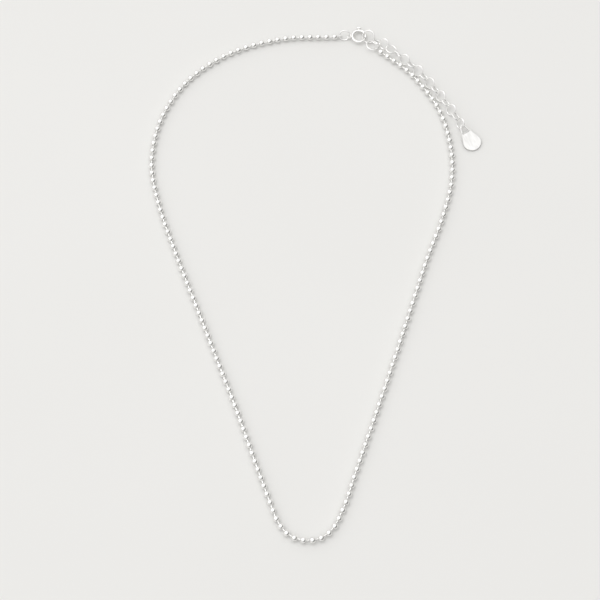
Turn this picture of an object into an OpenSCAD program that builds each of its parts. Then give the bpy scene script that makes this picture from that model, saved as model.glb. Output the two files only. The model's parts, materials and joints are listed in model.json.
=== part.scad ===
// Ball chain necklace lying in a closed loop, fastened by a spring ring clasp.
// An extender chain of round links ends in a drop tag beside the loop.
// Millimetres, +Z up. The origin lies on the resting surface, under the middle of the necklace.

/* [Ball chain] */
// Diameter of a ball
ball_d = 2.1; // [1.8:0.1:2.4]
// Gap between neighbouring balls
ball_gap = 0.8; // [0.6:0.1:1.2]
// Diameter of the rod that joins the balls
rod_d = 0.5; // [0.4:0.05:0.6]
// Clearance round the rod in a ball's bore
bore_clear = 0.12; // [0.1:0.01:0.2]

/* [End loops] */
// Outer diameter of the loop at each end of the ball chain
end_loop_d = 1.7; // [1.6:0.05:1.9]
// Wire of the end loops and of the clasp's eye
end_loop_wire = 0.3; // [0.24:0.02:0.34]

/* [Clasp] */
// Outer diameter of the spring ring
clasp_d = 5.6; // [5.2:0.1:6.2]
// Diameter of its tube
clasp_tube = 0.95; // [0.9:0.05:1.1]
// Wall of the tube
clasp_wall = 0.14; // [0.12:0.01:0.16]
// Clearance between the pin and the tube
pin_clear = 0.11; // [0.1:0.01:0.13]
// Width of the mouth that the pin closes
mouth_w = 1.5; // [1.2:0.1:1.8]
// Length of pin that reaches into the far side of the mouth
pin_bite = 0.3; // [0.2:0.05:0.5]
// Diameter of the stem between the pin and the thumb bar
thumb_stem = 0.4; // [0.35:0.05:0.5]
// Diameter of the thumb bar
thumb_d = 0.9; // [0.8:0.05:1]
// Length of the thumb bar
thumb_w = 1.7; // [1.4:0.1:2]
// Gap between the thumb bar and the tube
thumb_gap = 0.12; // [0.1:0.02:0.2]

/* [Rings] */
// Outer diameter of the jump ring between the ball chain and the clasp
near_ring_d = 3.9; // [3.7:0.1:4.2]
// Outer diameter of the ring that the clasp hooks
hook_ring_d = 4.8; // [4.4:0.1:5]
// Outer diameter of the jump ring between the hook ring and the ball chain
far_ring_d = 4.6; // [4.4:0.1:5]
// Wire of the jump rings and of the hook ring
ring_wire = 0.45; // [0.4:0.05:0.5]

/* [Extender] */
// Number of links
link_count = 15; // [8:1:20]
// Outer diameter of a link
link_d = 4.15; // [3.9:0.05:4.4]
// Wire of a link
link_wire = 0.4; // [0.34:0.02:0.44]
// Play between two linked wires
link_play = 0.14; // [0.12:0.01:0.18]

/* [Tag] */
// Length of the drop
tag_l = 10.2; // [9.4:0.2:12]
// Width of its round end
tag_w = 6.6; // [6.2:0.1:7]
// Width of its narrow end
tag_tip_w = 2; // [1.9:0.1:2.4]
// Thickness
tag_t = 0.6; // [0.5:0.05:0.7]
// Width of the rim round the window
tag_rim = 0.4; // [0.34:0.02:0.44]
// Length of the window
window_l = 2.9; // [2.6:0.1:3.4]
// Distance from the narrow end to the link's wire in the window
tag_seat = 1.05; // [1:0.05:1.4]

/* [Hidden] */

ball_fn = 48;
ring_fn = 64;
wire_fn = 24;
rod_sides = 8;
span_steps = 10;
cut = 0.5;

// The clasp's centre, and where the chain and the extender go from there.
// Points were chosen by hand along the loop as it lies, seen from above.
CLASP_AT = [21.3, 102.5];
CHAIN_ROUTE = [
    [-5.5, 101.5], [-24.5, 95.5], [-39.5, 84], [-48.5, 68], [-51, 51], [-48, 35.5],
    [-41.5, 16.5], [-34.5, -2], [-27.5, -20.5], [-20.5, -39], [-13.5, -59], [-9.5, -70],
    [-6.5, -77.5], [-3, -81.5], [1.5, -83], [6.5, -82.5], [10.5, -79.5], [14.5, -71.5],
    [18, -61], [24.5, -42], [31, -22.5], [37, -4], [43, 14.5], [49, 31],
    [52.5, 45], [52.5, 58], [49, 72.5], [41.4, 84.8], [37.3, 89.3]];
EXTENDER_ROUTE = [
    [37.1, 92.7], [41.8, 88.2], [46.1, 82.8], [50.1, 77], [53.5, 71.6], [56, 67], [58.5, 61.5]];

// Plan directions, in degrees
near_dir = 2;
hook_dir = -8;
far_ring_dir = -67;
far_loop_dir = -51;
far_end_dir = 144;
first_link_dir = -37;
first_link_turn = -38;
second_link_dir = -20;
tag_dir = -59;
eye_at = 180;
thumb_at = 90;
mouth_at = -39;

// Lean of each ring about its own plan direction: plus lifts its far side
near_lean = 45;
hook_turn = -30;
hook_lean = 42;
far_turn = -49;
far_lean = -14;
link_lean = 48;
last_lean = 60;
// The first five links lie out of step, and the rest take turns
START_LEANS = [-42, 53, -18, -70, 53];

// Gap between the near ring's wire and the side of a small loop that it leans towards
hole_gap = 0.25;

// Slack that keeps a pair of rings nearer than they would hang when pulled
hook_slack = 0.26;
far_slack = 0.24;
loop_slack = 0.03;
second_link_slack = 0.3;

// Height of the clasp over the wire it lies on, and of the far ring over the surface
clasp_lift = 0.275;
far_lift = 0.27;

// The eye is soldered this deep on the clasp, and an end loop's stem reaches into its ball
solder_depth = 0.08;
stem_gap = 0.06;
stem_depth = 0.6;

// A ball's bore widens by this angle towards its mouths, so that the rod can bend in it
bore_flare = 9;

// Turn past the mouth's edge that the pin makes when the clasp is open, and pin behind the stem
open_spare = 1;
pin_tail = 5;
corner_r = 0.2;

// Inset of the tag's straight sides where they leave a small circle, and where they meet the wide one
side_inset = 0.005;
shoulder = 0.3;

// Sizes that follow
ball_r = ball_d / 2;
rod_r = rod_d / 2;
bore_r = rod_r + bore_clear;
end_loop_r = (end_loop_d - end_loop_wire) / 2;
clasp_r = (clasp_d - clasp_tube) / 2;
pin_d = clasp_tube - 2 * clasp_wall - 2 * pin_clear;
near_r = (near_ring_d - ring_wire) / 2;
hook_r = (hook_ring_d - ring_wire) / 2;
far_r = (far_ring_d - ring_wire) / 2;
link_r = (link_d - link_wire) / 2;

// Plan direction as a unit vector
function way(a) = [cos(a), sin(a)];

// Plan angle from one point to another
function turn_of(a, b) = atan2(b[1] - a[1], b[0] - a[0]);

// Point on the centripetal spline from b to c, with a before them and d after
function spline_knot(a, b) = sqrt(norm(b - a));
function blend(a, b, ta, tb, t) = ((tb - t) * a + (t - ta) * b) / (tb - ta);
function spline_point(a, b, c, d, share) =
    let (t1 = spline_knot(a, b),
         t2 = t1 + spline_knot(b, c),
         t3 = t2 + spline_knot(c, d),
         t = t1 + share * (t2 - t1),
         ab = blend(a, b, 0, t1, t),
         bc = blend(b, c, t1, t2, t),
         cd = blend(c, d, t2, t3, t))
    blend(blend(ab, bc, 0, t2, t), blend(bc, cd, t1, t3, t), t1, t2, t);

// Smooth line through chosen points
function smooth(p) =
    let (n = len(p),
         q = concat([2 * p[0] - p[1]], p, [2 * p[n - 1] - p[n - 2]]))
    concat(
        [for (i = [1:n - 1], k = [0:span_steps - 1])
            spline_point(q[i - 1], q[i], q[i + 1], q[i + 2], k / span_steps)],
        [p[n - 1]]);

// Length run from the start of a line to each of its points
function runs(p) =
    [for (i = 0, s = 0; i < len(p); s = s + (i + 1 < len(p) ? norm(p[i + 1] - p[i]) : 0), i = i + 1) s];

// Point of a line at a length from its start
function at_run(p, run, s) =
    [for (k = [0, 1]) lookup(s, [for (i = [0:len(p) - 1]) [run[i], p[i][k]]])];

// Height at which a leaning ring's centre rests, with its low side on the surface
function rest_z(r, wire, lean) = r * abs(sin(lean)) + wire / 2;

// Distance between the centres of two linked rings when they are pulled
function taut(r1, wire1, r2, wire2) = r1 + r2 - (wire1 + wire2) / 2 - link_play;

// Where a leaning ring crosses a given height: share of its radius uphill, reach and sidestep
function uphill(r, lean, rise) = rise / (r * sin(lean));
function reach_at(r, lean, rise) = r * sqrt(1 - pow(uphill(r, lean, rise), 2));
function step_at(r, lean, rise) = r * uphill(r, lean, rise) * cos(lean);

// The clasp lies on the hook ring's wire, and its pin turns about the ring's centre
clasp_z = ring_wire + clasp_tube / 2 + clasp_lift;
mouth_turn = 2 * asin(mouth_w / 2 / clasp_r);
bite_turn = 2 * asin(pin_bite / 2 / clasp_r);
open_turn = mouth_turn + bite_turn + open_spare;
slot_pad = asin((thumb_stem / 2 + pin_clear) / clasp_r);
thumb_reach = clasp_d / 2 + thumb_gap + thumb_d / 2;
eye_reach = clasp_d / 2 + end_loop_d / 2 - solder_depth;
eye_pos = CLASP_AT + eye_reach * way(eye_at);
hole_play = end_loop_d / 2 - end_loop_wire - ring_wire / 2 - hole_gap;

// The near jump ring hangs the chain's first loop on the clasp's eye
near_z = rest_z(near_r, ring_wire, near_lean);
near_way = way(eye_at + 180);
near_side = way(eye_at + 270);
near_pos = eye_pos
    + (hole_play - reach_at(near_r, near_lean, clasp_z - near_z)) * near_way
    - step_at(near_r, near_lean, clasp_z - near_z) * near_side;
near_loop_pos = near_pos
    + (hole_play - reach_at(near_r, near_lean, ball_r - near_z)) * near_way
    + step_at(near_r, near_lean, ball_r - near_z) * near_side;

// The clasp hooks the hook ring, which holds the far jump ring and the extender
hook_pos = CLASP_AT + (taut(clasp_r, clasp_tube, hook_r, ring_wire) - hook_slack) * way(hook_dir);
far_pos = hook_pos + (taut(hook_r, ring_wire, far_r, ring_wire) - far_slack) * way(far_ring_dir);
far_loop_pos = far_pos
    + (taut(far_r, ring_wire, end_loop_r, end_loop_wire) - loop_slack) * way(far_loop_dir);

// Balls stand along the route at an equal pitch, no closer than the named gap
loop_reach = end_loop_d / 2 + stem_gap + ball_r;
chain_line = smooth(concat(
    [near_loop_pos - loop_reach * way(near_dir)],
    CHAIN_ROUTE,
    [far_loop_pos - loop_reach * way(far_end_dir)]));
chain_run = runs(chain_line);
chain_length = chain_run[len(chain_run) - 1];
ball_count = floor(chain_length / (ball_d + ball_gap)) + 1;
balls = [for (k = [0:ball_count - 1]) at_run(chain_line, chain_run, chain_length * k / (ball_count - 1))];

// Rod direction after ball k, with the end loops' own directions past the ends
function rod_dir(k) =
    k < 0 ? near_dir + 180
    : k > ball_count - 2 ? far_end_dir
    : turn_of(balls[k], balls[k + 1]);

// Bend of the rod at ball k, between minus and plus 180 degrees
function bend_at(k) = turn_of([0, 0], way(rod_dir(k) - rod_dir(k - 1)));

// Extender links stand along their own line at the pitch of a pulled chain
link_pitch = taut(link_r, link_wire, link_r, link_wire);
first_link_pos = hook_pos + taut(hook_r, ring_wire, link_r, link_wire) * way(first_link_dir);
second_link_pos = first_link_pos + (link_pitch - second_link_slack) * way(second_link_dir);
link_line = smooth(concat([second_link_pos], EXTENDER_ROUTE));
link_run = runs(link_line);
function link_pos(i) =
    i == 1 ? first_link_pos : at_run(link_line, link_run, (i - 2) * link_pitch);
function link_turn(i) =
    i == 1 ? first_link_turn
    : turn_of(at_run(link_line, link_run, max(0, (i - 2.2) * link_pitch)),
              at_run(link_line, link_run, (i - 1.8) * link_pitch));
function link_lean_of(i) =
    i <= len(START_LEANS) ? START_LEANS[i - 1]
    : (i == link_count ? last_lean : link_lean) * (i % 2 == 0 ? -1 : 1);
function link_rest(i) = rest_z(link_r, link_wire, link_lean_of(i));
// A link stands on the surface or is held up by its neighbours
function link_z(i) =
    i == 1 ? link_rest(1)
    : max(link_rest(i), (link_rest(i - 1) + link_rest(i + 1)) / 2);

// The last link's wire passes the tag's window, and the tag's round end lies on the surface
hang_pos = link_pos(link_count) + link_r * way(link_turn(link_count));
hang_z = link_z(link_count);
tag_tip_r = tag_tip_w / 2;
tag_r = tag_w / 2;
tag_span = tag_l - tag_seat;
tag_tilt = asin(hang_z / norm([tag_span, tag_t / 2])) - atan(tag_t / 2 / tag_span);
tag_flare = asin((tag_r - shoulder - tag_tip_r) / (tag_l - tag_r - tag_tip_r));
// Where a side of the tag touches a circle of radius r at x, and an outline with its mirror image
function tag_side(x, r) = [x - r * sin(tag_flare), r * cos(tag_flare)];
function with_mirror(upper) =
    concat(upper, [for (k = [len(upper) - 1:-1:0]) [upper[k][0], -upper[k][1]]]);

// Middle of the whole necklace, seen from above
x_low = min([for (b = balls) b[0]]) - ball_r;
y_low = min([for (b = balls) b[1]]) - ball_r;
tag_up_x = sin(tag_tilt) * cos(tag_dir);
x_high = hang_pos[0] + (tag_span - tag_r) * cos(tag_tilt) * cos(tag_dir)
    + tag_r * sqrt(1 - pow(tag_up_x, 2)) + tag_t / 2 * tag_up_x;
y_high = CLASP_AT[1] + thumb_reach + thumb_d / 2;
middle = [(x_low + x_high) / 2, (y_low + y_high) / 2];

// Puts a piece that is placed by the route into the necklace's own frame
module lay() {
    translate([-middle[0], -middle[1], 0]) children();
}

// Round wire bent into a closed ring that lies flat about the origin
module wire_ring(r, wire) {
    rotate_extrude($fn = ring_fn) translate([r, 0]) circle(d = wire, $fn = wire_fn);
}

// The same ring, turned in plan and leaning about its own direction
module leaning_ring(r, wire, pos, z, turn, lean) {
    lay() translate([pos[0], pos[1], z]) rotate([0, 0, turn]) rotate([lean, 0, 0])
        wire_ring(r, wire);
}

// Ball about the origin, with a bore along Z that flares from the middle to both mouths
module bored_ball() {
    mouth = bore_r + ball_r * tan(bore_flare);
    rotate_extrude($fn = ball_fn) difference() {
        circle(r = ball_r, $fn = ball_fn);
        translate([-ball_d, -ball_r]) square([ball_d, ball_d]);
        polygon([[0, -ball_r], [mouth, -ball_r], [bore_r, 0], [mouth, ball_r], [0, ball_r]]);
    }
}

// Each bore lies halfway between the rod's directions on its two sides
module ball_chain() {
    color("gainsboro") lay()
        for (k = [0:ball_count - 1])
            translate([balls[k][0], balls[k][1], ball_r])
                rotate([0, 90, rod_dir(k) - bend_at(k) / 2]) bored_ball();
}

// One rod through all the balls, mitred where it bends at a ball's centre
module chain_rod() {
    last = ball_count - 1;
    points = [for (k = [0:last])
        let (side = way(rod_dir(k) - bend_at(k) / 2 + 90),
             reach = rod_r / cos(bend_at(k) / 2))
        for (s = [0:rod_sides - 1])
            [balls[k][0] + side[0] * reach * cos(360 * (s + 0.5) / rod_sides),
             balls[k][1] + side[1] * reach * cos(360 * (s + 0.5) / rod_sides),
             ball_r + rod_r * sin(360 * (s + 0.5) / rod_sides)]];
    walls = [for (k = [0:last - 1], s = [0:rod_sides - 1])
        let (next = (s + 1) % rod_sides)
        [k * rod_sides + s, (k + 1) * rod_sides + s,
         (k + 1) * rod_sides + next, k * rod_sides + next]];
    near_end = [for (s = [0:rod_sides - 1]) s];
    far_end = [for (s = [rod_sides - 1:-1:0]) last * rod_sides + s];
    color("gainsboro") lay() polyhedron(points, concat(walls, [near_end, far_end]));
}

// Upright loop with a stem that reaches into the end ball's bore
module end_loop(pos, dir) {
    color("gainsboro") lay() translate([pos[0], pos[1], ball_r]) rotate([0, 0, dir]) {
        rotate([90, 0, 0]) wire_ring(end_loop_r, end_loop_wire);
        translate([end_loop_r, 0, 0]) rotate([0, 90, 0])
            cylinder(r = rod_r, h = end_loop_wire / 2 + stem_gap + stem_depth, $fn = wire_fn);
    }
}

module end_loop_near() {
    end_loop(near_loop_pos, near_dir + 180);
}

module end_loop_far() {
    end_loop(far_loop_pos, far_end_dir + 180);
}

// Piece of the clasp, made about the clasp's centre
module on_clasp() {
    lay() translate([CLASP_AT[0], CLASP_AT[1], clasp_z]) children();
}

// Hollow ring with a mouth, a slot for the thumb bar's stem, and a soldered eye
module clasp_body() {
    color("silver") on_clasp() {
        difference() {
            rotate([0, 0, mouth_at + mouth_turn / 2])
                rotate_extrude(angle = 360 - mouth_turn, $fn = ring_fn)
                    translate([clasp_r, 0]) difference() {
                        circle(d = clasp_tube, $fn = wire_fn);
                        circle(d = clasp_tube - 2 * clasp_wall, $fn = wire_fn);
                    }
            rotate([0, 0, thumb_at - slot_pad])
                rotate_extrude(angle = open_turn + 2 * slot_pad, $fn = ring_fn)
                    translate([clasp_r, -thumb_stem / 2 - pin_clear])
                        square([clasp_tube / 2 + cut, thumb_stem + 2 * pin_clear]);
        }
        rotate([0, 0, eye_at]) translate([eye_reach, 0, 0]) wire_ring(end_loop_r, end_loop_wire);
    }
}

// Curved pin that closes the mouth, with the thumb bar that draws it back
module clasp_trigger() {
    pin_turn = thumb_at + pin_tail - mouth_at + mouth_turn / 2 + bite_turn;
    bar = thumb_w - thumb_d;
    color("silver") on_clasp() {
        rotate([0, 0, thumb_at + pin_tail - pin_turn]) {
            rotate_extrude(angle = pin_turn, $fn = ring_fn)
                translate([clasp_r, 0]) circle(d = pin_d, $fn = wire_fn);
            translate([clasp_r, 0, 0]) sphere(d = pin_d, $fn = wire_fn);
        }
        rotate([0, 0, thumb_at]) {
            translate([clasp_r, 0, 0]) rotate([0, 90, 0])
                cylinder(d = thumb_stem, h = thumb_reach - clasp_r, $fn = wire_fn);
            translate([thumb_reach, 0, 0]) rotate([90, 0, 0])
                cylinder(d = thumb_d, h = bar, center = true, $fn = ball_fn);
            for (side = [-1, 1])
                translate([thumb_reach, side * bar / 2, 0]) sphere(d = thumb_d, $fn = ball_fn);
        }
    }
}

module near_ring() {
    color("silver") leaning_ring(near_r, ring_wire, near_pos, near_z, eye_at + 180, near_lean);
}

module hook_ring() {
    color("silver") leaning_ring(hook_r, ring_wire, hook_pos,
        rest_z(hook_r, ring_wire, hook_lean), hook_turn, hook_lean);
}

module far_ring() {
    color("silver") leaning_ring(far_r, ring_wire, far_pos,
        rest_z(far_r, ring_wire, far_lean) + far_lift, far_turn, far_lean);
}

module extender_link(i) {
    color("silver") leaning_ring(link_r, link_wire, link_pos(i), link_z(i), link_turn(i), link_lean_of(i));
}

// Plate that widens from a narrow round end to a wide one
module tag_plate() {
    wide_x = tag_l - tag_r;
    upper = [
        tag_side(tag_tip_r, tag_tip_r - side_inset),
        tag_side(wide_x, tag_r - shoulder)];
    translate([tag_tip_r, 0, 0]) cylinder(r = tag_tip_r, h = tag_t, $fn = ring_fn);
    translate([wide_x, 0, 0]) cylinder(r = tag_r, h = tag_t, $fn = ring_fn);
    linear_extrude(tag_t) polygon(with_mirror(upper));
}

// Window with sides beside the outline, a round top and a straight base with small corners
module tag_window() {
    deep = tag_t + 2 * cut;
    top_r = tag_tip_r - tag_rim;
    base_x = tag_rim + window_l;
    corner_x = base_x - corner_r;
    corner_y = (top_r - corner_r + (corner_x - tag_tip_r) * sin(tag_flare)) / cos(tag_flare);
    upper = [
        tag_side(tag_tip_r, top_r - side_inset),
        [corner_x, corner_y] + tag_side(0, corner_r - side_inset),
        [base_x - side_inset, corner_y]];
    translate([0, 0, -cut]) {
        translate([tag_tip_r, 0, 0]) cylinder(r = top_r, h = deep, $fn = ring_fn);
        for (side = [-1, 1])
            translate([corner_x, side * corner_y, 0]) cylinder(r = corner_r, h = deep, $fn = wire_fn);
        linear_extrude(deep) polygon(with_mirror(upper));
    }
}

module tag() {
    color("whitesmoke") lay() translate([hang_pos[0], hang_pos[1], hang_z])
        rotate([0, 0, tag_dir]) rotate([0, tag_tilt, 0]) translate([-tag_seat, 0, -tag_t / 2])
            difference() {
                tag_plate();
                tag_window();
            }
}

ball_chain();
chain_rod();
end_loop_near();
end_loop_far();
clasp_body();
clasp_trigger();
near_ring();
hook_ring();
far_ring();
for (i = [1:link_count])
    extender_link(i);
tag();
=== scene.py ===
import json
import math

import bmesh
import bpy
import numpy as np
from mathutils import Matrix, Vector


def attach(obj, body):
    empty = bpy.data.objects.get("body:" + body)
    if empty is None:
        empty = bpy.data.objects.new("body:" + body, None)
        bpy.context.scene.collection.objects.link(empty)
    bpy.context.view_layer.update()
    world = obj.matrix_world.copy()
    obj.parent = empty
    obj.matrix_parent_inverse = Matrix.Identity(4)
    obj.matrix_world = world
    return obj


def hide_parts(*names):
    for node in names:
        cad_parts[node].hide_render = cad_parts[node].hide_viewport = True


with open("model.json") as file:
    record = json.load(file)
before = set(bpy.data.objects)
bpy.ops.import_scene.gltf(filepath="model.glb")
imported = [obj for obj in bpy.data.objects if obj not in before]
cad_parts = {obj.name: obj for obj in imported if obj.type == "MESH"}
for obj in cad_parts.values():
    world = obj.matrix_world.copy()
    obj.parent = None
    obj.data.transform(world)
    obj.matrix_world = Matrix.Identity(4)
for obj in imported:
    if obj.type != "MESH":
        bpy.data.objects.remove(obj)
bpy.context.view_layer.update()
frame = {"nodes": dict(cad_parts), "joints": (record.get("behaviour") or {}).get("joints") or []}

MM = 0.001
TURN = 2 * math.pi
X, Y, Z = np.eye(3)
MAIN = "necklace"
TRIGGER = "clasp_trigger"
LINKS = [n for n in frame["nodes"] if n.startswith("extender_link_")]
LAST_LINK = f"extender_link_{len(LINKS)}"

# Sizes as in the solids, in millimetres, with turns and places round the clasp in degrees
BALL_R = 1.05
HOLE_R = 0.34
ROD_R = 0.22
LOOP_D = 1.7
LOOP_WIRE = 0.3
LOOP_R = (LOOP_D - LOOP_WIRE) / 2
LOOP_GAP = 0.06
LOOP_REACH = LOOP_D / 2 + LOOP_GAP + BALL_R
CLASP_D = 5.6
CLASP_TUBE_R = 0.475
CLASP_WALL = 0.14
CLASP_R = CLASP_D / 2 - CLASP_TUBE_R
PIN_R = 0.225
PIN_CLEAR = 0.11
THUMB_R = 0.45
THUMB_W = 1.7
THUMB_GAP = 0.12
THUMB_REACH = CLASP_D / 2 + THUMB_GAP + THUMB_R
THUMB_AT = 90
STEM_R = 0.2
MOUTH = 1.5
MOUTH_AT = -39
MOUTH_TURN = 2 * math.degrees(math.asin(MOUTH / 2 / CLASP_R))
BITE = 0.3
BITE_TURN = 2 * math.degrees(math.asin(BITE / 2 / CLASP_R))
SPARE_TURN = 1
OPEN_TURN = MOUTH_TURN + BITE_TURN + SPARE_TURN
SLOT_HALF = STEM_R + PIN_CLEAR
SLOT_PAD = math.degrees(math.asin(SLOT_HALF / CLASP_R))
EYE_SUNK = 0.08
NOSE_TURN = 5
TAIL_TURN = 5
TAG_L = 10.2
TAG_W = 6.6
TAG_TIP_W = 2.0
TAG_T = 0.6
TAG_RIM = 0.4
WINDOW_L = 2.9
WINDOW_CORNER = 0.2
SHOULDER = 0.3

# The tag's outline: its two round ends, and the straight sides that lean by FLARE between them
TIP_R = TAG_TIP_W / 2
WIDE_R = TAG_W / 2
WIDE_X = TAG_L - WIDE_R
SIDE_Y = WIDE_R - SHOULDER
FLARE = math.asin((SIDE_Y - TIP_R) / (WIDE_X - TIP_R))
SIDE_WAY = math.pi / 2 + FLARE

# Small forms that only the scene has, in millimetres
HOLE_LIP = 0.06
HOLE_SEEN = 0.3
ROD_HIDDEN = 0.25
ROD_TAPER = 0.12
STEM_SHORT = 0.6
CLASP_BEVEL = 0.035
TAG_BEVEL = 0.14

# Shares: the rod's radius at its ends, and the square of the least radius at a rounded end
ROD_FLARE = 1.12
PIN_BLUNT = 0.02
BAR_BLUNT = 0.0025

# Edges sharper than this are bevelled on the clasp and kept crisp on the tag, in degrees
CLASP_SHARP = 50
TAG_SHARP = 35

# Share of a ball's radius past which a vertex of its solid lies on the round face
FACE_SHARE = 0.9

# Closing seams of the rings: each depth or rise is a share of the wire, each width is in radians
SEAM_SPAN = 0.09
CUT_DEPTH = 0.22
CUT_WIDTH = 0.012
SOLDER_RISE = 0.015
SOLDER_WIDTH = 0.12
SOLDER_GROOVE = 0.06
GROOVE_WIDTH = 0.02

# Where each seam lies, in degrees round its ring
JUMP_SEAMS = {"near_ring": 200, "hook_ring": 110, "far_ring": 250}
LINK_SEAM = 80
LINK_SEAM_STEP = 137

# Faces round each form, and steps along it
BALL_SIDES = 26
BALL_STEPS = 18
ROD_SIDES = 14
WIRE_SIDES = 16
LOOP_STEPS = 48
RING_STEPS = 72
SEAM_STEPS = 13
SLOT_COLS = 7
SHELL_COLS = 21
BEFORE_SLOT, ALONG_SLOT, PAST_SLOT = 40, 26, 60
PIN_STEPS = 60
BAR_SIDES = 24
BAR_STEPS = 24
TIP_STEPS, WIDE_STEPS = 40, 120
WINDOW_STEPS, CORNER_STEPS = 28, 10

# Slack for numbers that should be equal, and the digits that tell a ring's angles apart
HAIR = 1e-6
ANGLE_DIGITS = 5

# Grain of the silver: noise scales per metre, and the depth of the scratches in metres
TONE_GRAIN = 900
TONE_EDGES = (0.35, 0.65)
GLOSS_GRAIN = 2600
SCRATCH_GRAIN = 5000
SCRATCH_STRETCH = (1, 8, 1)
SCRATCH_DEPTH = 0.00001
BRUSH_GRAIN = 1800
BRUSH_STRETCH = (9, 1, 1)
EVEN = (1, 1, 1)

# The photograph's camera: its aim on the plane of the ball centres, its elevation and its reach
AIM = Vector((-5.34, -11.2, BALL_R)) * MM
ELEVATION = 66.36
REACH = 615.4 * MM
LENS = 110.46
SENSOR = 36

# Where the large soft source stands, which makes the highlight on each ball
KEY_WAY = (-0.37, 0.25, 0.9)
FLOOR_HALF = 1.5


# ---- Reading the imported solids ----
def node_points(name):
    """The node's vertices in millimetres, in the row frame."""
    mesh = frame["nodes"][name].data
    points = np.empty(len(mesh.vertices) * 3)
    mesh.vertices.foreach_get("co", points)
    return points.reshape(-1, 3) / MM


def box_middle(points):
    """Middle of the box round some points."""
    return (points.min(axis=0) + points.max(axis=0)) / 2


def loose_parts(name):
    """The vertices of each loose solid of a node, in millimetres."""
    merged = bmesh.new()
    merged.from_mesh(frame["nodes"][name].data)
    bmesh.ops.remove_doubles(merged, verts=merged.verts, dist=HAIR)
    seen = set()
    parts = []
    for start in merged.verts:
        if start in seen:
            continue
        seen.add(start)
        group = [start]
        for vert in group:
            for edge in vert.link_edges:
                other = edge.other_vert(vert)
                if other not in seen:
                    seen.add(other)
                    group.append(other)
        parts.append(np.array([vert.co[:] for vert in group]) / MM)
    merged.free()
    return parts


def ball_centre(points):
    """Centre of a ball, fitted to the vertices on its round face."""
    outer = points[np.linalg.norm(points - box_middle(points), axis=1) > FACE_SHARE * BALL_R]
    system = np.column_stack([2 * outer, np.ones(len(outer))])
    return np.linalg.lstsq(system, (outer ** 2).sum(axis=1), rcond=None)[0][:3]


def ball_centres():
    """The centre of each ball, in order along the chain from its near end, in millimetres."""
    rest = [ball_centre(points) for points in loose_parts("ball_chain")]
    here = node_points("end_loop_near").mean(axis=0)
    in_order = []
    while rest:
        nearest = int(np.argmin([np.linalg.norm(centre - here) for centre in rest]))
        here = rest.pop(nearest)
        in_order.append(here)
    return np.array(in_order)


def ring_shape(name):
    """Centre, normal, radius of the wire's middle line, and wire radius of a ring's solid."""
    points = node_points(name)
    centre = box_middle(points)
    normal = np.linalg.svd(points - centre, full_matrices=False)[2][2]
    if normal[2] < 0:
        normal = -normal
    wire_r = np.abs((points - centre) @ normal).max()
    outer_r = np.linalg.norm(points - centre, axis=1).max()
    return centre, normal, outer_r - wire_r, wire_r


# ---- Mesh making ----
def unit(v):
    """The vector at length 1."""
    return np.asarray(v, float) / np.linalg.norm(v)


def make_object(name, verts, faces, material):
    """A smooth mesh piece from vertices in millimetres."""
    mesh = bpy.data.meshes.new(name)
    mesh.from_pydata((np.asarray(verts) * MM).tolist(), [], faces)
    mesh.validate()
    piece = bpy.data.objects.new(name, mesh)
    bpy.context.scene.collection.objects.link(piece)
    mesh.polygons.foreach_set("use_smooth", [True] * len(mesh.polygons))
    mesh.materials.append(material)
    return piece


def grid_faces(rows, cols, close_rows=False):
    """Quads of a grid of rows by cols vertices, each row joined round, the rows where asked."""
    faces = []
    for i in range(rows if close_rows else rows - 1):
        for j in range(cols):
            here = i * cols
            following = ((i + 1) % rows) * cols
            beside = (j + 1) % cols
            faces.append((here + j, here + beside, following + beside, following + j))
    return faces


def lathe(profile, sides):
    """Vertices and faces of (radius, along) pairs turned about +X."""
    angles = np.linspace(0, TURN, sides, endpoint=False)
    verts = [(x, r * math.cos(a), r * math.sin(a)) for r, x in profile for a in angles]
    return np.array(verts), grid_faces(len(profile), sides)


def axes_along(direction):
    """Rotation that takes +X to a direction and keeps +Z as near upright as it can."""
    x = unit(direction)
    y = np.cross(Z, x)
    y = unit(y) if np.linalg.norm(y) > HAIR else Y
    return np.column_stack([x, y, np.cross(x, y)])


def circle_points(centre, radius, first, second, angles):
    """Points of a circle in the plane of two directions, at angles from the first."""
    return [centre + radius * (math.cos(a) * first + math.sin(a) * second) for a in angles]


def sweep(points, radii, sides, closed=False, up=Z):
    """Vertices and faces of a tube along a flat path, whose plane's normal is up."""
    points = np.asarray(points, float)
    up = unit(up)
    count = len(points)
    verts = []
    for k in range(count):
        before = points[k - 1] if closed or k > 0 else points[k]
        after = points[(k + 1) % count] if closed or k < count - 1 else points[k]
        side = unit(np.cross(unit(after - before), up))
        angles = [TURN * s / sides for s in range(sides)]
        verts += circle_points(points[k], radii[k], side, up, angles)
    faces = grid_faces(count, sides, close_rows=closed)
    if not closed:
        faces.append(tuple(range(sides))[::-1])
        faces.append(tuple(range((count - 1) * sides, count * sides)))
    return np.array(verts), faces


def wire_loop(centre, first, second):
    """Vertices and faces of a small round wire loop in the plane of two directions."""
    angles = [TURN * k / LOOP_STEPS for k in range(LOOP_STEPS)]
    path = circle_points(centre, LOOP_R, first, second, angles)
    radii = [LOOP_WIRE / 2] * LOOP_STEPS
    return sweep(path, radii, WIRE_SIDES, closed=True, up=np.cross(first, second))


def joined(parts):
    """One list of vertices and faces from several."""
    verts = []
    faces = []
    base = 0
    for part_verts, part_faces in parts:
        verts.append(part_verts)
        faces += [tuple(base + v for v in face) for face in part_faces]
        base += len(part_verts)
    return np.concatenate(verts), faces


# ---- Finishes ----
def new_material(name):
    """A material, its nodes, its links and its shader."""
    material = bpy.data.materials.new(name)
    material.use_nodes = True
    nodes = material.node_tree.nodes
    return material, nodes, material.node_tree.links, nodes["Principled BSDF"]


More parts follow.
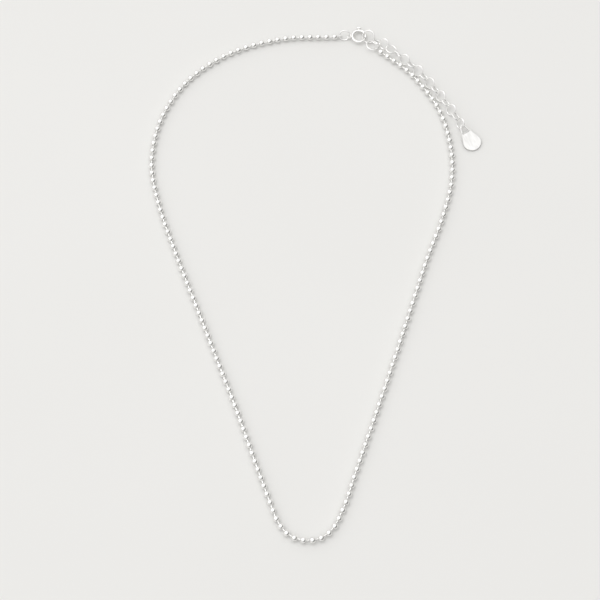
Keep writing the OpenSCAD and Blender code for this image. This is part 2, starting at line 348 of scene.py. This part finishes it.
def add_noise(nodes, links, scale, detail, stretch=EVEN, turn=0):
    """Noise over the object's own coordinates, which are metres, drawn out along turned axes."""
    where = nodes.new("ShaderNodeTexCoord")
    mapping = nodes.new("ShaderNodeMapping")
    mapping.vector_type = "TEXTURE"
    mapping.inputs["Rotation"].default_value = (0, 0, turn)
    mapping.inputs["Scale"].default_value = stretch
    noise = nodes.new("ShaderNodeTexNoise")
    noise.inputs["Scale"].default_value = scale
    noise.inputs["Detail"].default_value = detail
    links.new(where.outputs["Object"], mapping.inputs["Vector"])
    links.new(mapping.outputs["Vector"], noise.inputs["Vector"])
    return noise


def colour_by(noise, nodes, links, shader, dark, light, edges=(0, 1)):
    """Let a noise take the shader's colour from dark to light between two levels."""
    ramp = nodes.new("ShaderNodeValToRGB")
    for stop, level, colour in zip(ramp.color_ramp.elements, edges, (dark, light)):
        stop.position = level
        stop.color = (*colour, 1)
    links.new(noise.outputs["Fac"], ramp.inputs["Fac"])
    links.new(ramp.outputs["Color"], shader.inputs["Base Color"])


def silver(name, light, dark, roughness, bump, grain=TONE_GRAIN, stretch=EVEN, turn=0):
    """Silver with a faint tone change, uneven gloss and hair scratches."""
    material, nodes, links, shader = new_material(name)
    shader.inputs["Metallic"].default_value = 1.0
    tone = add_noise(nodes, links, scale=grain, detail=3, stretch=stretch, turn=turn)
    colour_by(tone, nodes, links, shader, dark, light, edges=TONE_EDGES)
    gloss = add_noise(nodes, links, scale=GLOSS_GRAIN, detail=4)
    spread = nodes.new("ShaderNodeMapRange")
    spread.inputs["To Min"].default_value = roughness[0]
    spread.inputs["To Max"].default_value = roughness[1]
    links.new(gloss.outputs["Fac"], spread.inputs["Value"])
    links.new(spread.outputs["Result"], shader.inputs["Roughness"])
    scratches = add_noise(nodes, links, scale=SCRATCH_GRAIN, detail=2, stretch=SCRATCH_STRETCH)
    relief = nodes.new("ShaderNodeBump")
    relief.inputs["Strength"].default_value = bump
    relief.inputs["Distance"].default_value = SCRATCH_DEPTH
    links.new(scratches.outputs["Fac"], relief.inputs["Height"])
    links.new(relief.outputs["Normal"], shader.inputs["Normal"])
    return material


def floor_finish():
    """Pale matt board with a very faint mottle."""
    material, nodes, links, shader = new_material("floor_finish")
    shader.inputs["Roughness"].default_value = 0.9
    shader.inputs["Specular IOR Level"].default_value = 0.2
    mottle = add_noise(nodes, links, scale=12, detail=2)
    colour_by(mottle, nodes, links, shader, dark=(0.75, 0.745, 0.729), light=(0.77, 0.765, 0.751))
    return material


BALL_FINISH = silver("ball_silver", light=(0.95, 0.945, 0.93), dark=(0.90, 0.895, 0.88),
                     roughness=(0.07, 0.15), bump=0.05)
ROD_FINISH = silver("rod_silver", light=(0.93, 0.925, 0.91), dark=(0.86, 0.855, 0.84),
                    roughness=(0.12, 0.22), bump=0.08)
WIRE_FINISH = silver("wire_silver", light=(0.98, 0.975, 0.965), dark=(0.94, 0.935, 0.925),
                     roughness=(0.08, 0.16), bump=0.08)
CLASP_FINISH = silver("clasp_silver", light=(0.95, 0.945, 0.93), dark=(0.89, 0.885, 0.87),
                      roughness=(0.09, 0.2), bump=0.08)


# ---- Ball chain ----
def ball_profile():
    """Outline of a ball from one hole to the other, with a rounded lip at each hole."""
    lip_r = HOLE_R + HOLE_LIP
    lip_x = math.sqrt(BALL_R ** 2 - lip_r ** 2)
    hole = [(HOLE_R, lip_x - HOLE_SEEN), (HOLE_R, lip_x - HOLE_LIP / 2),
            (HOLE_R + HOLE_LIP / 3, lip_x)]
    first = math.asin(lip_r / BALL_R)
    arc = [first + (math.pi - 2 * first) * k / BALL_STEPS for k in range(BALL_STEPS + 1)]
    outside = [(BALL_R * math.sin(a), -BALL_R * math.cos(a)) for a in arc]
    return [(r, -x) for r, x in hole] + outside + hole[::-1]


def make_ball_string():
    """All the balls, each turned along the chain."""
    centres = ball_centres()
    template, faces = lathe(ball_profile(), BALL_SIDES)
    parts = []
    for k, centre in enumerate(centres):
        before = centres[max(k - 1, 0)]
        after = centres[min(k + 1, len(centres) - 1)]
        parts.append((template @ axes_along(after - before).T + centre, faces))
    piece = make_object("ball_string", *joined(parts), BALL_FINISH)
    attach(piece, MAIN)
    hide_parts("ball_chain")
    return centres


def make_rods(centres):
    """The short rods that show between the balls, from inside one ball to inside the next."""
    inside = math.sqrt(BALL_R ** 2 - HOLE_R ** 2) - ROD_HIDDEN
    end_r = ROD_R * ROD_FLARE
    parts = []
    for a, b in zip(centres[:-1], centres[1:]):
        reach = np.linalg.norm(b - a) - 2 * inside
        profile = [(end_r, 0), (ROD_R, ROD_TAPER), (ROD_R, reach - ROD_TAPER), (end_r, reach)]
        template, faces = lathe(profile, ROD_SIDES)
        parts.append((template @ axes_along(b - a).T + a + unit(b - a) * inside, faces))
    piece = make_object("connecting_rods", *joined(parts), ROD_FINISH)
    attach(piece, MAIN)
    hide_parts("chain_rod")


def make_end_loop(name, ball):
    """Upright wire loop at a chain end, with the stem that enters the end ball."""
    to_ball = unit((ball - box_middle(node_points(name))) * (X + Y))
    centre = ball - to_ball * LOOP_REACH
    loop = wire_loop(centre, to_ball, Z)
    stem_from = centre + to_ball * LOOP_R
    stem_path = [stem_from, stem_from + to_ball * ROD_TAPER, ball - to_ball * STEM_SHORT]
    stem = sweep(stem_path, [LOOP_WIRE / 2, ROD_R, ROD_R], ROD_SIDES)
    piece = make_object(name + "_wire", *joined([loop, stem]), ROD_FINISH)
    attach(piece, MAIN)
    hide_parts(name)


# ---- Rings and links ----
def bell(off, width):
    """Bell curve of height 1."""
    return math.exp(-(off / width) ** 2)


def seam_share(off, seam):
    """Share of the wire's radius at an angle off its seam."""
    if seam == "cut":
        return 1 - CUT_DEPTH * bell(off, CUT_WIDTH)
    bead = SOLDER_RISE * (bell(off, SOLDER_WIDTH) - 1)
    return 1 + bead - SOLDER_GROOVE * bell(off, GROOVE_WIDTH)


def make_ring(name, seam_at, seam):
    """Round wire ring with its closing seam: a cut for a jump ring, a solder bead for a link."""
    centre, normal, radius, wire_r = ring_shape(name)
    across = unit(np.cross(normal, Z))
    along = np.cross(normal, across)
    seam_angle = math.radians(seam_at)
    even = np.linspace(0, TURN, RING_STEPS, endpoint=False)
    close = seam_angle + np.linspace(-SEAM_SPAN, SEAM_SPAN, SEAM_STEPS)
    angles = np.unique(np.round(np.mod(np.concatenate([even, close]), TURN), ANGLE_DIGITS))
    offs = (angles - seam_angle + math.pi) % TURN - math.pi
    radii = [wire_r * seam_share(off, seam) for off in offs]
    path = circle_points(centre, radius, across, along, angles)
    verts, faces = sweep(path, radii, WIRE_SIDES, closed=True, up=normal)
    piece = make_object(name + "_wire", verts, faces, WIRE_FINISH)
    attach(piece, MAIN)
    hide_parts(name)


# ---- Clasp ----
def clasp_place():
    """Centre of the clasp's ring, from its joint."""
    joint = frame["joints"][0]
    return np.array(joint["pos_m"]) / MM


def clasp_shell(centre):
    """Vertices and faces of the clasp's tube, open at its mouth and along its outer slot."""
    start = MOUTH_AT + MOUTH_TURN / 2
    end = start + 360 - MOUTH_TURN
    slot_from = THUMB_AT - SLOT_PAD
    slot_to = THUMB_AT + OPEN_TURN + SLOT_PAD
    turns = np.unique(np.concatenate([
        np.linspace(start, slot_from, BEFORE_SLOT),
        np.linspace(slot_from, slot_to, ALONG_SLOT),
        np.linspace(slot_to, end, PAST_SLOT)]))
    slot_angle = math.degrees(math.asin(SLOT_HALF / CLASP_TUBE_R))
    rounds = np.radians(np.concatenate([
        np.linspace(-slot_angle, slot_angle, SLOT_COLS + 1)[:-1],
        np.linspace(slot_angle, 360 - slot_angle, SHELL_COLS + 1)[:-1]]))
    verts = []
    for turn in np.radians(turns):
        out = math.cos(turn) * X + math.sin(turn) * Y
        verts += circle_points(centre + CLASP_R * out, CLASP_TUBE_R, out, Z, rounds)
    cols = len(rounds)
    faces = []
    for i in range(len(turns) - 1):
        beside_slot = slot_from - HAIR <= turns[i] < slot_to - HAIR
        for j in range(SLOT_COLS if beside_slot else 0, cols):
            a = i * cols + j
            b = i * cols + (j + 1) % cols
            faces.append((a, a + cols, b + cols, b))
    return verts, faces


def make_clasp():
    """Hollow spring ring with rolled edges at its mouth and its slot, and a soldered eye."""
    centre = clasp_place()
    shell = make_object("clasp_ring", *clasp_shell(centre), CLASP_FINISH)
    wall = shell.modifiers.new("wall", "SOLIDIFY")
    wall.thickness = CLASP_WALL * MM
    wall.offset = -1
    edge = shell.modifiers.new("edge", "BEVEL")
    edge.width = CLASP_BEVEL * MM
    edge.segments = 2
    edge.limit_method = "ANGLE"
    edge.angle_limit = math.radians(CLASP_SHARP)
    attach(shell, MAIN)
    eye_at = centre - X * (CLASP_R + CLASP_TUBE_R + LOOP_D / 2 - EYE_SUNK)
    eye = make_object("clasp_eye", *wire_loop(eye_at, X, Y), CLASP_FINISH)
    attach(eye, MAIN)
    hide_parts("clasp_body")


def make_trigger():
    """Curved pin with a round nose, its stem and its thumb bar."""
    centre = clasp_place()
    tip = MOUTH_AT - MOUTH_TURN / 2 - BITE_TURN - NOSE_TURN
    turns = np.linspace(tip, THUMB_AT + TAIL_TURN, PIN_STEPS)
    path = circle_points(centre, CLASP_R, X, Y, np.radians(turns))
    shorts = [1 - min((turn - tip) / NOSE_TURN, 1) for turn in turns]
    pin_radii = [PIN_R * math.sqrt(max(PIN_BLUNT, 1 - short ** 2)) for short in shorts]
    pin = sweep(path, pin_radii, WIRE_SIDES)
    thumb_angle = math.radians(THUMB_AT)
    out = math.cos(thumb_angle) * X + math.sin(thumb_angle) * Y
    side = np.cross(Z, out)
    bar_at = centre + out * THUMB_REACH
    stem = sweep([centre + out * CLASP_R, bar_at], [STEM_R, STEM_R], WIRE_SIDES)
    half = THUMB_W / 2
    along = [-half * math.cos(math.pi * k / BAR_STEPS) for k in range(BAR_STEPS + 1)]
    pasts = [max(0, (abs(x) - (half - THUMB_R)) / THUMB_R) for x in along]
    bar_radii = [THUMB_R * math.sqrt(max(BAR_BLUNT, 1 - past ** 2)) for past in pasts]
    bar = sweep([bar_at + side * x for x in along], bar_radii, BAR_SIDES)
    piece = make_object("trigger_pin", *joined([pin, stem, bar]), CLASP_FINISH)
    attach(piece, TRIGGER)
    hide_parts("clasp_trigger")


# ---- Tag ----
def tag_place():
    """Axes and origin of the tag: +X from its narrow end to its wide end, +Z its upper face."""
    points = node_points("tag")
    middle = points.mean(axis=0)
    axes = np.linalg.svd(points - middle, full_matrices=False)[2]
    normal = axes[2] if axes[2][2] > 0 else -axes[2]
    along = axes[0]
    if (ring_shape(LAST_LINK)[0] - middle) @ along > 0:
        along = -along
    turn = np.column_stack([along, np.cross(normal, along), normal])
    corners = points @ turn
    origin = box_middle(corners)
    origin[0] = corners[:, 0].min()
    return turn, turn @ origin


def flat_arc(x, y, radius, start, end, steps):
    """Points of an arc in the tag's plane about (x, y), from start to end in radians."""
    angles = np.linspace(start, end, steps)
    return [(x + radius * math.cos(a), y + radius * math.sin(a)) for a in angles]


def tag_outline(inset):
    """Closed outline of the tag, drawn in by inset."""
    meets = SIDE_WAY - math.acos(SIDE_Y / WIDE_R)
    tip = flat_arc(TIP_R, 0, TIP_R - inset, SIDE_WAY, TURN - SIDE_WAY, TIP_STEPS)
    return tip + flat_arc(WIDE_X, 0, WIDE_R - inset, -meets, meets, WIDE_STEPS)


def window_outline(outset):
    """Closed outline of the tag's window, drawn out by outset."""
    top_r = TIP_R - TAG_RIM
    corner_x = TAG_RIM + WINDOW_L - WINDOW_CORNER
    rise = top_r - WINDOW_CORNER + (corner_x - TIP_R) * math.sin(FLARE)
    corner_y = rise / math.cos(FLARE)
    corner_r = WINDOW_CORNER + outset
    top = flat_arc(TIP_R, 0, top_r + outset, SIDE_WAY, TURN - SIDE_WAY, WINDOW_STEPS)
    low = flat_arc(corner_x, -corner_y, corner_r, -SIDE_WAY, 0, CORNER_STEPS)
    high = flat_arc(corner_x, corner_y, corner_r, 0, SIDE_WAY, CORNER_STEPS)
    return top + low + high


def tag_mesh():
    """Mesh of the tag in its own axes, from a curve with rounded edges."""
    curve = bpy.data.curves.new("tag_curve", "CURVE")
    curve.dimensions = "2D"
    curve.fill_mode = "BOTH"
    curve.extrude = (TAG_T / 2 - TAG_BEVEL) * MM
    curve.bevel_depth = TAG_BEVEL * MM
    curve.bevel_resolution = 4
    for outline in (tag_outline(TAG_BEVEL), window_outline(TAG_BEVEL)):
        line = curve.splines.new("POLY")
        line.points.add(len(outline) - 1)
        for point, (x, y) in zip(line.points, outline):
            point.co = (x * MM, y * MM, 0, 1)
        line.use_cyclic_u = True
    drawn = bpy.data.objects.new("tag_drawn", curve)
    bpy.context.scene.collection.objects.link(drawn)
    evaluated = drawn.evaluated_get(bpy.context.evaluated_depsgraph_get())
    mesh = bpy.data.meshes.new_from_object(evaluated)
    bpy.data.objects.remove(drawn)
    return mesh


def make_tag():
    """Flat satin drop with rounded edges and a window at its narrow end, brushed lengthways."""
    mesh = tag_mesh()
    turn, origin = tag_place()
    matrix = Matrix(turn.tolist()).to_4x4()
    matrix.translation = Vector(origin) * MM
    mesh.transform(matrix)
    brushed = math.atan2(turn[1, 0], turn[0, 0])
    finish = silver("tag_silver", light=(0.86, 0.855, 0.845), dark=(0.73, 0.725, 0.715),
                    roughness=(0.3, 0.42), bump=0.2,
                    grain=BRUSH_GRAIN, stretch=BRUSH_STRETCH, turn=brushed)
    mesh.materials.clear()
    mesh.materials.append(finish)
    piece = bpy.data.objects.new("drop_tag", mesh)
    bpy.context.scene.collection.objects.link(piece)
    mesh.polygons.foreach_set("use_smooth", [True] * len(mesh.polygons))
    mesh.set_sharp_from_angle(angle=math.radians(TAG_SHARP))
    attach(piece, MAIN)
    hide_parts("tag")


# ---- Stage ----
def make_floor():
    """Plain pale floor at the height on which the necklace lies."""
    mesh = bpy.data.meshes.new("floor")
    corners = [(x * FLOOR_HALF, y * FLOOR_HALF, 0) for x, y in ((-1, -1), (1, -1), (1, 1), (-1, 1))]
    mesh.from_pydata(corners, [], [(0, 1, 2, 3)])
    floor = bpy.data.objects.new("floor", mesh)
    mesh.materials.append(floor_finish())
    bpy.context.scene.collection.objects.link(floor)


def make_light(name, where, size, power):
    """Square soft light that faces the necklace."""
    data = bpy.data.lights.new(name, "AREA")
    data.size = size
    data.energy = power
    light = bpy.data.objects.new(name, data)
    light.location = where
    light.rotation_euler = (-Vector(where)).to_track_quat("-Z", "Y").to_euler()
    bpy.context.scene.collection.objects.link(light)


def make_world():
    """Pale room with a large soft source overhead to the upper left, dimmest low on the right."""
    world = bpy.data.worlds.new("room")
    world.use_nodes = True
    nodes = world.node_tree.nodes
    links = world.node_tree.links
    where = nodes.new("ShaderNodeTexCoord")

    def band(direction, start, end, low, high):
        """Level that rises from low to high as the view turns towards a direction."""
        dot = nodes.new("ShaderNodeVectorMath")
        dot.operation = "DOT_PRODUCT"
        dot.inputs[1].default_value = Vector(direction).normalized()
        links.new(where.outputs["Generated"], dot.inputs[0])
        rise = nodes.new("ShaderNodeMapRange")
        rise.interpolation_type = "SMOOTHSTEP"
        rise.inputs["From Min"].default_value = start
        rise.inputs["From Max"].default_value = end
        rise.inputs["To Min"].default_value = low
        rise.inputs["To Max"].default_value = high
        links.new(dot.outputs["Value"], rise.inputs["Value"])
        return rise.outputs["Result"]

    def times(first, second):
        """Product of two levels."""
        product = nodes.new("ShaderNodeMath")
        product.operation = "MULTIPLY"
        links.new(first, product.inputs[0])
        links.new(second, product.inputs[1])
        return product.outputs["Value"]

    source = band(KEY_WAY, start=0.5, end=0.9, low=0.88, high=1.4)
    horizon = band(Z, start=0.02, end=0.5, low=0.82, high=1)
    dark_side = band((-0.65, 0.4, 0.65), start=-0.35, end=0.05, low=0.2, high=1)
    level = times(times(source, horizon), dark_side)
    links.new(level, nodes["Background"].inputs["Strength"])
    nodes["Background"].inputs["Color"].default_value = (1, 0.997, 0.99, 1)
    bpy.context.scene.world = world


def make_camera():
    """Camera at the photograph's viewing angle."""
    data = bpy.data.cameras.new("camera")
    data.sensor_width = SENSOR
    data.lens = LENS
    camera = bpy.data.objects.new("camera", data)
    up = math.radians(ELEVATION)
    camera.location = AIM + REACH * Vector((0, -math.cos(up), math.sin(up)))
    camera.rotation_euler = (math.pi / 2 - up, 0, 0)
    bpy.context.scene.collection.objects.link(camera)
    bpy.context.scene.camera = camera


make_camera()
make_world()
make_floor()
make_light("key", KEY_WAY, size=0.2, power=0.9)
bpy.context.scene.view_settings.view_transform = "Standard"

chain = make_ball_string()
make_rods(chain)
make_end_loop("end_loop_near", chain[0])
make_end_loop("end_loop_far", chain[-1])
for ring, seam_at in JUMP_SEAMS.items():
    make_ring(ring, seam_at, "cut")
for k, link in enumerate(LINKS):
    make_ring(link, LINK_SEAM + LINK_SEAM_STEP * k % 360, "solder")
make_clasp()
make_trigger()
make_tag()
